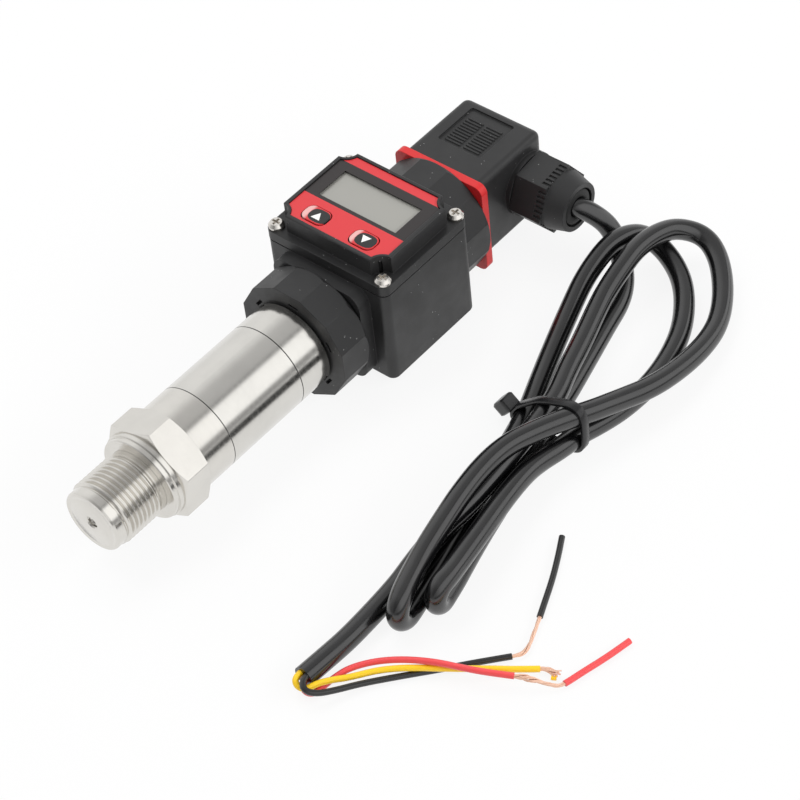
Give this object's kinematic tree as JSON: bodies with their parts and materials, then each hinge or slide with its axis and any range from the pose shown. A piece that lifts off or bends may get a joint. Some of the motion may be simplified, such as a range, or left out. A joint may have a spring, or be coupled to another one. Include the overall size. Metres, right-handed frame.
{
  "type": "pressure transmitter",
  "caption": "Steel pressure transmitter with a threaded port, a display head with buttons, a square cable socket and a lead tied in a hank, its wires bare at the end.",
  "frame": {"origin": "middle of the transmitter's length, below the tube's axis, on the surface that it lies on; the lead is not counted", "axes": "+X along the tube from the threaded port to the cable socket, +Z out of the display, +Y to the left when looking along +X, away from the cable gland"},
  "size_m": [0.1886, 0.1479, 0.0426],
  "materials": {
    "stainless_steel": "turned and lightly brushed",
    "cell_steel": "fine turned",
    "seal_rubber": "matt",
    "board_green": "solder resist",
    "black_plastic": "fine spark texture",
    "grey_plastic": "matt",
    "label_film": "printed film, satin",
    "switch_black": "matt",
    "screw_steel": "nickel plate",
    "lcd_glass": "grey-green display, switched off",
    "clear_pane": "clear",
    "tinned_brass": "tinned",
    "red_silicone": "satin",
    "button_plastic": "satin",
    "cable_jacket": "glossy PVC",
    "tie_nylon": "satin",
    "wire_red": "glossy PVC",
    "wire_yellow": "glossy PVC",
    "wire_black": "glossy PVC",
    "copper": "bright drawn copper strands"
  },
  "bodies": {
    "head": {"coupling_spigot": "black_plastic", "spigot_lock_nut": "black_plastic", "display_housing": "black_plastic", "lid_seal": "seal_rubber", "display_lid": "black_plastic", "face_label": "label_film", "display_board": "board_green", "button_switches": "switch_black", "lid_screws": "screw_steel", "lcd_module": "lcd_glass", "lcd_window": "clear_pane", "base_seal": "seal_rubber", "connector_base": "black_plastic", "contact_blades": "tinned_brass", "connector_gasket": "red_silicone", "connector_housing": "black_plastic", "connector_insert": "grey_plastic", "terminal_screws": "screw_steel", "connector_screw": "screw_steel", "screw_washer": "seal_rubber", "gland_grommet": "seal_rubber", "gland_slip_washer": "grey_plastic", "cable_lead": "cable_jacket", "cable_hank": "cable_jacket", "cable_tie": "tie_nylon", "cable_tail": "cable_jacket", "wire_red": "wire_red", "wire_yellow": "wire_yellow", "wire_black": "wire_black", "strands_red": "copper", "strands_yellow": "copper", "strands_black": "copper", "slipped_sleeve_red": "wire_red", "slipped_sleeve_black": "wire_black"},
    "pressure_body": {"pressure_port": "stainless_steel", "sensor_cell": "cell_steel", "cell_seal_ring": "seal_rubber", "cell_retaining_ring": "cell_steel", "sensor_sleeve": "stainless_steel", "tube_end_ring": "stainless_steel", "amplifier_board": "board_green", "spigot_seal": "seal_rubber"},
    "front_nut": {"front_coupling_nut": "black_plastic"},
    "rear_nut": {"rear_coupling_nut": "black_plastic"},
    "cable_gland": {"gland_nut": "black_plastic"},
    "upper_button": {"button_up": "button_plastic"},
    "lower_button": {"button_down": "button_plastic"}
  },
  "joints": [
    {"name": "head_swivel", "type": "hinge", "parent": "head", "child": "pressure_body", "pos_m": [-0.00222, 0, 0.0177], "axis": [1, 0, 0], "range_deg": [-165, 165]},
    {"name": "front_nut_turn", "type": "hinge", "parent": "head", "child": "front_nut", "pos_m": [-0.00237, 0, 0.0177], "axis": [1, 0, 0], "continuous": true},
    {"name": "rear_nut_turn", "type": "hinge", "parent": "head", "child": "rear_nut", "pos_m": [0.05017, 0, 0.0177], "axis": [1, 0, 0], "continuous": true},
    {"name": "gland_nut_turn", "type": "hinge", "parent": "head", "child": "cable_gland", "pos_m": [0.07833, -0.022, 0.0177], "axis": [0, 1, 0], "continuous": true},
    {"name": "up_button_press", "type": "slide", "parent": "head", "child": "upper_button", "axis": [0, 0, -1], "range_m": [0, 0.0005], "stiffness_N_per_m": 2000, "springref_m": -0.0002},
    {"name": "down_button_press", "type": "slide", "parent": "head", "child": "lower_button", "axis": [0, 0, -1], "range_m": [0, 0.0005], "stiffness_N_per_m": 2000, "springref_m": -0.0002}
  ]
}
